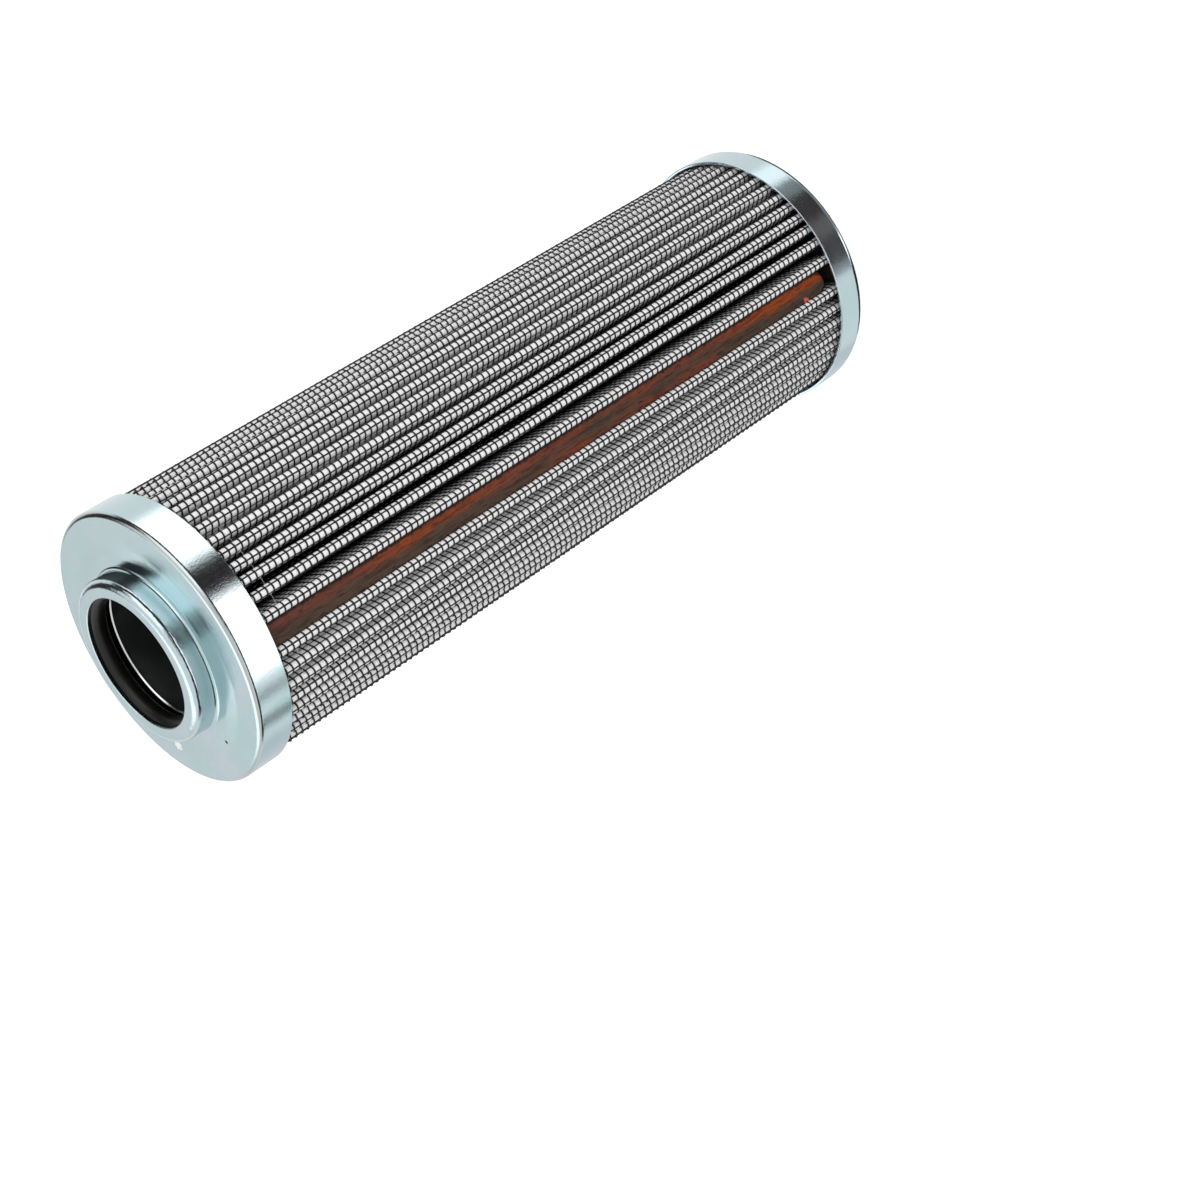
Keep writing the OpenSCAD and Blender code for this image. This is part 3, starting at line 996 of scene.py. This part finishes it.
class FILTER_OT_fleece(Operator):
    """Makes the white fleece as one closed pleated shell, with the weave's cells as its UV."""

    bl_idname = "filter.fleece"
    bl_label = "Fleece"
    rows = 35

    def execute(self, context):
        """The outer level is the fleece's, plus swell times how far the place is along from
        0.6 to 1.4 pitches off the crest. The UV map counts wires from the crest and from
        the first round wire."""
        s, w = context.scene.filter_pleats, context.scene.filter_weave
        heights = np.linspace(s.low, s.high, self.rows)
        folds = pack_folds(s, heights)
        crest = np.linspace(0, 1, 11)
        up, down = [1.4, 1.7, 1.9], [1.1, 1.3, 1.6]
        stations = pack_stations(s.count, [0.5, 1.0], up, crest, down, [0.0])
        owner, along, which = stations
        run, top = run_to_crests(folds, owner, along, which, w.outer)
        flank = np.clip((np.abs(run - top) / w.pitch - 0.6) / 0.8, 0, 1)
        outer = w.outer + w.swell * flank
        points, faces = pleated_shell(s, heights, stations, w.inner, outer)
        last = s.count - 1
        after = run > top
        # Points beside the two wide gaps get less of the painted shade in the folds
        wide = np.isin(which, (0, last - 1)) & after | np.isin(which, (1, last)) & ~after
        shift = warp_offsets(s.count)[which]
        total = run[-1] + np.hypot(*(points[0, 0, :2] - points[0, -1, :2]))
        right = np.append(run[1:], total)
        u = np.stack([run, right, right, run], -1) - top[:, None]
        u = u / w.pitch - shift[:, None]
        z = points[:, 0, 2]
        above = np.roll(z, -1)
        v = (np.stack([z, z, above, above], -1) - w.first) / w.pitch
        uv = np.stack(np.broadcast_arrays(u[None], v[:, None]), -1)
        cloth = woven_fleece(context.scene.filter_finish, w)
        where = "prefilter_fleece", "white_fleece"
        wide = np.tile(wide, len(points))
        add_piece("pleated_fleece", points, faces, cloth, *where, uv, wide)
        return {"FINISHED"}


class FILTER_OT_wire_mesh(Operator):
    """Makes the black wire mesh: closed round wires that wave over the pleats, and straight
    wires along them."""

    bl_idname = "filter.wire_mesh"
    bl_label = "Wire mesh"
    where = "outer_wire_mesh", "black_wire"

    # Corners of a wire's section, pieces that share the round wires, rows of points on a
    # long wire, and long wires on each side of the one nearest a crest
    corners = np.arange(4) * TURN / 4
    pieces, rows, beside = 3, 14, 7

    def round_wires(self, s, w, black):
        """Each wire is a four-sided tube on the pleated surface. Its level is the wires'
        level, plus wave * cos(half a turn per pitch) up to three pitches from a crest, with
        the sign changing from wire to wire."""
        crest = np.linspace(0, 1, 7)
        owner, along, which = pack_stations(s.count, [1.0], [1.82], crest, [1.18], [0.0])
        count = int((s.high - w.first) / w.pitch) + 1
        heights = w.first + np.arange(count) * w.pitch
        folds = pack_folds(s, heights)
        run, top = run_to_crests(folds, owner, along, which, w.outer)
        u = (run - top) / w.pitch - warp_offsets(s.count)[which]
        sign = np.where(np.arange(count) % 2, -1.0, 1.0)[:, None]
        level = w.level + w.wave * sign * np.cos(math.pi * u)
        level = np.where(np.abs(run - top) < 3 * w.pitch, level, w.level)
        tubes = []
        for a in self.corners:
            x, y, _ = pack_points(folds, owner, along, level + w.wire * math.sin(a))
            z = np.repeat(heights[:, None] - w.wire * math.cos(a), len(owner), 1)
            tubes.append(np.stack([x, y, z], -1))
        points = np.stack(tubes, 1)
        for part, group in enumerate(np.array_split(points, self.pieces)):
            faces = [grid_faces(4, len(owner), True, True, len(group))]
            add_piece(f"round_wires_{part + 1}", group, faces, black, *self.where)

    def long_wires(self, s, w, black):
        """Each wire runs up the pack at a fixed length along the surface from its crest: on
        the arc at length / radius, past its ends at the rest's share of the flank. Its ends
        stand 0.1 mm inside the cast discs."""
        heights = np.linspace(s.low - 0.0001, s.high + 0.0001, self.rows)
        folds = pack_folds(s, heights)
        radius = s.crest + w.low_level
        fold = 2 * np.arange(s.count) + 1
        start, end = folds["start"][:, fold] * radius, folds["end"][:, fold] * radius
        flank = math.sqrt((s.crest_at - s.nose_at) ** 2 - (s.crest + s.nose) ** 2)
        shift = warp_offsets(s.count) * w.pitch
        owner, along = [], []
        for m in range(-self.beside, self.beside + 1):
            at = shift + m * w.pitch
            on_arc = (at - start) / (end - start)
            after = 1 + (at - end) / flank
            before = 2 - (start - at) / flank
            left = at < start.mean(0)
            place = np.where(left, before, np.where(at < end, on_arc, after))
            owner.append(fold - left)
            along.append(np.clip(place, 0, 1.99))
        owner, along = np.concatenate(owner), np.concatenate(along, 1)
        z = np.repeat(heights[:, None], len(owner), 1)
        tubes = []
        for a in self.corners:
            level = w.low_level + w.long_wire * math.sin(a)
            x, y, normal = pack_points(folds, owner, along, level)
            aside = -w.long_wire * math.cos(a)
            x, y = x - aside * np.sin(normal), y + aside * np.cos(normal)
            tubes.append(np.stack([x, y, z], -1))
        points = np.stack(tubes, 2).transpose(1, 0, 2, 3)
        wires, rows = points.shape[:2]
        first = np.arange(wires)[:, None] * rows * 4
        lower = first + np.array([3, 2, 1, 0])
        upper = first + (rows - 1) * 4 + np.arange(4)
        faces = [grid_faces(rows, 4, False, True, wires), lower, upper]
        add_piece("long_wires", points, faces, black, *self.where)

    def execute(self, context):
        s, w = context.scene.filter_pleats, context.scene.filter_weave
        black = coated_wire(context.scene.filter_finish)
        self.round_wires(s, w, black)
        self.long_wires(s, w, black)
        return {"FINISHED"}


class FILTER_OT_seam_resin(Operator):
    """Makes the resin strip in the side seam."""

    bl_idname = "filter.seam_resin"
    bl_label = "Seam resin"
    across, end_rows, rows = 27, 13, 440

    def execute(self, context):
        """A closed section is carried up the seam. Its face is at the edges' distance less
        sag * (1 - v squared), plus three sines, given by their heights and lengths in
        millimetres, and a rise at the edges, by |v| to the seventh, between the wires; its
        half width is that of a circle over the rounded low end."""
        r, s = context.scene.filter_resin, context.scene.filter_pleats
        w = context.scene.filter_weave
        v = np.linspace(-1, 1, self.across)
        end = 1 - np.cos(np.linspace(0.06, TURN / 4, self.end_rows + 1)[:-1])
        body = np.linspace(r.start + r.half, r.end, self.rows)
        z = np.concatenate([r.start + r.half * end, body])[:, None]
        fall = np.clip((z - r.start) / r.half, 0, 1)
        wide = np.sqrt(fall * (2 - fall))
        tooth = np.cos(math.pi * (z - w.first) / w.pitch) ** 2
        number = np.floor((z - w.first) / w.pitch + 0.5)
        uneven = 0.5 + 0.5 * np.sin(2.7 * number + np.sign(v) * 1.3)
        rise = r.tooth * (1 - tooth) * (0.3 + 0.7 * uneven) * np.abs(v) ** 7
        ripple = 0
        for tall, long, turns in (0.05, 23, 2), (0.04, 7.1, 5), (0.05, 60, 4.3):
            ripple = ripple + tall / 1000 * np.sin(TURN * z * 1000 / long + turns * v)
        out = r.top - r.sag * (1 - v**2) + ripple + rise
        back_v = np.array([1.0, 0.5, 0.0, -0.5, -1.0])
        back_out = np.repeat(r.top - r.deep * wide, len(back_v), 1)
        side = np.concatenate([v * r.half * wide, back_v * r.deep_half * wide], 1)
        out = np.concatenate([out, back_out], 1)
        rows, columns = side.shape
        c, n = math.cos(s.seam), math.sin(s.seam)
        z = np.repeat(z, columns, 1)
        points = np.stack([out * c - side * n, out * n + side * c, z], -1)
        ends = points[[0, -1]].mean(1)
        ends[0, 2] = r.start
        total = rows * columns
        low = fan(total, 0, columns, False)
        high = fan(total + 1, total - columns, columns, True)
        faces = [grid_faces(rows, columns, False, True), low, high]
        points = np.concatenate([points.reshape(-1, 3), ends])

        # The UV map is in millimetres
        across = np.broadcast_to(np.concatenate([v, back_v]) * r.half, z.shape)
        place = np.stack([across, z], -1).reshape(-1, 2)
        place = np.concatenate([place, [[0, r.start], [0, r.end]]]) * 1000
        uv = np.concatenate([place[f].reshape(-1, 2) for f in faces])
        resin = seam_resin(context.scene.filter_finish)
        where = "side_seam_resin", "seam_resin"
        add_piece("seam_resin_strip", points, faces, resin, *where, uv)
        return {"FINISHED"}


class FILTER_OT_thread(Operator):
    """Makes the fine thread wound round the crests near the open cap, from one edge of the
    resin round to the other, because the resin hides it: a circle carried along an arc."""

    bl_idname = "filter.thread"
    bl_label = "Spacing thread"
    around, steps = 8, 300

    def execute(self, context):
        t = context.scene.filter_thread
        seam = context.scene.filter_pleats.seam
        path = circle_path(t.outside - 2 * t.radius, t.height, t.radius, self.around)
        angle = np.linspace(seam + t.gap, seam + TURN - t.gap, self.steps)
        points = swept(path, angle)
        start = np.arange(self.around)[None] * self.steps
        end = start[:, ::-1] + self.steps - 1
        faces = [grid_faces(self.around, self.steps, True, False), start, end]
        clear = clear_thread(context.scene.filter_finish)
        add_piece("thread_ring", points, faces, clear, "spacing_thread", "clear_thread")
        return {"FINISHED"}


class FILTER_OT_inner_parts(Operator):
    """Gives the carried-over CAD parts their finishes."""

    bl_idname = "filter.inner_parts"
    bl_label = "Inner parts"

    def execute(self, context):
        f = context.scene.filter_finish
        paint("centre_tube", rolled_steel(f))
        cast = fibre_cloth("cast_dark_resin", f.potting, 0.8, 0.45)
        paint("potting_open_end", cast)
        paint("potting_closed_end", cast)
        return {"FINISHED"}


# Stage

# Middle of the element, and how many rows and columns of points a card has
MIDDLE = np.array([0, 0, 0.1])
CARD_ROWS, CARD_COLUMNS = 9, 13

# Elevations of the cards that the near and the far skirt mirror, then tints of cards
NEAR, FAR = (-33.5, -9), (-58, -33.5)
WARM, SOFT, LILAC = (1.0, 0.8, 0.78, 1), (1.0, 0.91, 0.9, 1), (0.95, 0.96, 1.0, 1)

# Each card's name, azimuths, elevations, strength and tint, and its distance if it stands
# before another one. Angles are in degrees, seen from the middle of the element
CARDS = (
    ("dark_near", (-62, -30), NEAR, 0.035, WARM),
    ("white_before", (-30, 26), NEAR, 2.4, SOFT),
    ("white_sheet", (-129, -62), NEAR, 2.6, SOFT),
    ("pale_sheet", (-180, -129), NEAR, 1.1, WHITE),
    ("thin_dark_a", (-147.5, -142), NEAR, 0.1, WHITE, 4.8),
    ("thin_dark_b", (-173, -165), NEAR, 0.0, WHITE, 4.8),
    ("grey_far_a", (-30, -12), FAR, 0.3, WHITE),
    ("dark_far_a", (-58, -30), FAR, 0.07, WARM),
    ("grey_far_b", (-76, -58), FAR, 0.16, WARM),
    ("dark_far_b", (-102, -76), FAR, 0.06, WARM),
    ("grey_far_c", (-112, -102), FAR, 0.35, WHITE),
    ("white_far", (-12, 12), FAR, 1.5, WHITE),
    ("white_rim", (-122, -84), (-80, -62), 2.4, WHITE),
    ("grey_rim", (-84, 30), (-89.9, -58), 0.35, WHITE),
    ("dark_below", (30, 240), (-89.9, -52), 0.03, WHITE),
    ("lilac_wall", (100, 172), (-52, -6), 0.8, LILAC),
    ("horizon", (-178, 40), (-9, 15.5), 0.04, WARM),
    ("grey_wall", (101, 150), (6, 31), 0.86, WHITE),
    ("dark_wall", (18, 99), (15, 42), 0.04, WARM),
    ("white_neck", (-50, 12), (21, 60), 1.8, WHITE),
    ("dark_neck", (-86, -58), (21, 34), 0.1, WARM),
    ("white_above", (101, 170), (33, 75), 1.8, WHITE),
)

# Each lamp's name, azimuth, elevation, distance, size and share of the key's power
LAMPS = (
    ("front_lamp", -68, 42, 1.3, 0.7, 1.0),
    ("far_lamp", -15, 38, 1.2, 0.6, 0.45),
    ("side_lamp", -110, 48, 1.3, 0.8, 0.5),
)


def white_rays(add):
    """1 for rays that should see the plain white background, else 0."""
    path = add("ShaderNodeLightPath").outputs
    seen = path["Is Camera Ray"]
    for name in ("Is Glossy Ray", "Is Transmission Ray"):
        seen = add(MATH, [seen, path[name]], operation="MAXIMUM")
    return seen


def toward(azimuth, elevation):
    """Direction to an azimuth and an elevation in degrees: products of their cosines and
    sines."""
    a, e = np.radians(azimuth), np.radians(elevation)
    return np.stack([np.cos(e) * np.cos(a), np.cos(e) * np.sin(a), np.sin(e) + 0 * a], -1)


def studio_sheet(name, points, material):
    """A glowing or plain sheet of the studio over a grid of points. It lights nothing by
    direct sampling, which would cost time."""
    mesh = bpy.data.meshes.new(name)
    faces = grid_faces(*points.shape[:2], False, False)
    mesh.from_pydata(points.reshape(-1, 3).tolist(), [], faces.tolist())
    material.cycles.emission_sampling = "NONE"
    mesh.materials.append(material)
    obj = put(name, mesh)
    return obj


def card(name, azimuth, elevation, strength, tint, away=5.0):
    """A studio card seen only in reflections: a patch of a large sphere round the middle of
    the element."""
    name = "card_" + name
    a = np.linspace(*azimuth, CARD_COLUMNS)[None]
    e = np.linspace(*elevation, CARD_ROWS)[:, None]
    material, add, _ = new_material(name)
    glow = add("ShaderNodeEmission", {"Color": tint, "Strength": strength})
    add(OUTPUT, [glow])
    obj = studio_sheet(name, MIDDLE + away * toward(a, e), material)
    obj.visible_camera = obj.visible_diffuse = obj.visible_shadow = False
    obj.visible_transmission = False


class FILTER_OT_stage(Operator):
    """Sets up the camera, the floor, the lamps and the cards."""

    bl_idname = "filter.stage"
    bl_label = "Stage"

    def camera(self, s):
        """The camera looks from its place to its aim; its up direction is the upright one
        turned by the roll towards its right."""
        data = bpy.data.cameras.new("view")
        data.lens, data.sensor_width = s.lens, 36.0
        data.clip_start, data.clip_end = 0.01, 50.0
        camera = put("view", data)
        forward = (Vector(s.aim) - Vector(s.place)).normalized()
        side = forward.cross(Vector((0, 0, 1))).normalized()
        above = side.cross(forward)
        up = math.cos(s.roll) * above + math.sin(s.roll) * side
        right = forward.cross(up)
        turned = Matrix((right, up, -forward)).transposed()
        camera.matrix_world = Matrix.Translation(s.place) @ turned.to_4x4()
        bpy.context.scene.camera = camera

    def floor(self, s, f):
        """A pale floor of 12 by 12 m, just under the element. It looks white to the camera,
        less the shadow on it."""
        a = np.linspace(-6, 6, 13)
        x, y = np.meshgrid(a, a)
        material, add, place = new_material("pale_studio_floor")
        tone = add(NOISE, texture(place, 300))
        tint = add(RAMP, [tone], ((0.2, f.floor), (0.8, grey(0.93))))
        paper = add("ShaderNodeBsdfDiffuse", [tint])
        seen = add(MATH, [white_rays(add), s.floor_glow], operation="MULTIPLY")
        glow = add("ShaderNodeEmission", {"Strength": seen})
        add(OUTPUT, [add("ShaderNodeAddShader", [paper, glow])])
        points = np.stack([x, y, np.full_like(x, -0.00005)], -1)
        studio_sheet("studio_floor", points, material).visible_glossy = False

    def lamp(self, name, azimuth, elevation, away, size, power):
        """A square soft lamp that looks at the middle of the element."""
        data = bpy.data.lights.new(name, "AREA")
        data.shape, data.size, data.energy = "SQUARE", size, power
        obj = put(name, data)
        side = Vector(toward(azimuth, elevation))
        obj.location = Vector(MIDDLE) + away * side
        obj.rotation_euler = side.to_track_quat("Z", "Y").to_euler()
        obj.visible_glossy = False

    def world(self, s):
        """White where it is seen directly or in metal, and a softer light elsewhere."""
        world = bpy.data.worlds.new("studio")
        add = emptied(world)
        strength = [white_rays(add), 1 - s.fill, s.fill]
        strength = add(MATH, strength, operation="MULTIPLY_ADD")
        back = add("ShaderNodeBackground", {"Color": WHITE, "Strength": strength})
        add("ShaderNodeOutputWorld", [back])
        bpy.context.scene.world = world

    def execute(self, context):
        s, f = context.scene.filter_stage, context.scene.filter_finish
        context.scene.view_settings.view_transform = "Standard"
        self.camera(s)
        self.floor(s, f)
        self.world(s)
        for *row, power in LAMPS:
            self.lamp(*row, power * s.key)
        for row in CARDS:
            card(*row)
        return {"FINISHED"}


class FILTER_PT_panel(Panel):
    """Lists the steps and the sizes in the sidebar."""

    bl_label = "Filter element"
    bl_idname = "FILTER_PT_panel"
    bl_space_type = "VIEW_3D"
    bl_region_type = "UI"
    bl_category = "Filter"

    def draw(self, context):
        for step in STEPS:
            self.layout.operator(step.bl_idname)
        for name, group in GROUPS.items():
            box = self.layout.box()
            box.label(text=group.__doc__)
            for key in group.__annotations__:
                box.prop(getattr(context.scene, name), key)


STEPS = [
    FILTER_OT_end_caps,
    FILTER_OT_neck_seal,
    FILTER_OT_inner_layers,
    FILTER_OT_fleece,
    FILTER_OT_wire_mesh,
    FILTER_OT_seam_resin,
    FILTER_OT_thread,
    FILTER_OT_inner_parts,
    FILTER_OT_stage,
]
CLASSES = [*GROUPS.values(), *STEPS, FILTER_PT_panel]


def register():
    """Registers the classes and hangs the property groups on the scene."""
    for c in CLASSES:
        bpy.utils.register_class(c)
    for name, group in GROUPS.items():
        setattr(bpy.types.Scene, name, PointerProperty(type=group))


def unregister():
    """Undoes register."""
    for name in GROUPS:
        delattr(bpy.types.Scene, name)
    for c in reversed(CLASSES):
        bpy.utils.unregister_class(c)


def main():
    register()
    for step in STEPS:
        group, name = step.bl_idname.split(".")
        getattr(getattr(bpy.ops, group), name)()


if __name__ == "__main__":
    main()
